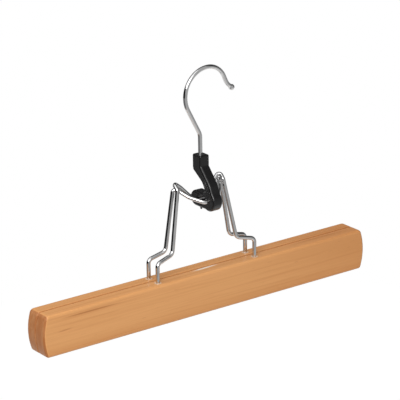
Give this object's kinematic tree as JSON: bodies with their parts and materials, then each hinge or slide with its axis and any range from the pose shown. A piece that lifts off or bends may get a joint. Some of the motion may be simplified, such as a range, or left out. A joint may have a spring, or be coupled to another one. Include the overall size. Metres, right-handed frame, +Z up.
{
  "type": "trouser hanger",
  "caption": "Trouser hanger with two felt-lined wooden bars clamped by linked wire bows and a lever, hung by a swivelling wire hook.",
  "frame": {"origin": "where a rail touches the inside of the hook's crown, with the hanger hanging and shut", "axes": "+X along the bars towards the open side of the hook, +Y from the front bar to the rear bar, +Z up"},
  "size_m": [0.3216, 0.0357, 0.2036],
  "materials": {
    "lacquered_beech": "semi-gloss clear lacquer",
    "felt": "thin pressed felt",
    "plated_wire": "bright plated wire",
    "black_plastic": "smooth moulded, soft gloss"
  },
  "bodies": {
    "hook": {"hook": "plated_wire"},
    "lever": {"lever": "black_plastic"},
    "front_jaw": {"front_bar": "lacquered_beech", "front_felt": "felt", "front_bow": "plated_wire"},
    "rear_jaw": {"rear_bar": "lacquered_beech", "rear_felt": "felt", "rear_bow": "plated_wire"}
  },
  "joints": [
    {"name": "hook_swivel", "type": "hinge", "parent": "hook", "child": "lever", "pos_m": [-0.0083, 0, -0.06855], "axis": [0, 0, 1], "continuous": true},
    {"name": "lever_flip", "type": "hinge", "parent": "lever", "child": "front_jaw", "pos_m": [-0.0083, 0, -0.10585], "axis": [-1, 0, 0], "range_deg": [0, 70]},
    {"name": "jaw_open", "type": "hinge", "parent": "front_jaw", "child": "rear_jaw", "pos_m": [-0.0083, 0.005, -0.09355], "axis": [1, 0, 0], "range_deg": [0, 35]}
  ],
  "couplings": [
    {"joint": "jaw_open", "follows": "lever_flip", "ratio": 0.5}
  ]
}
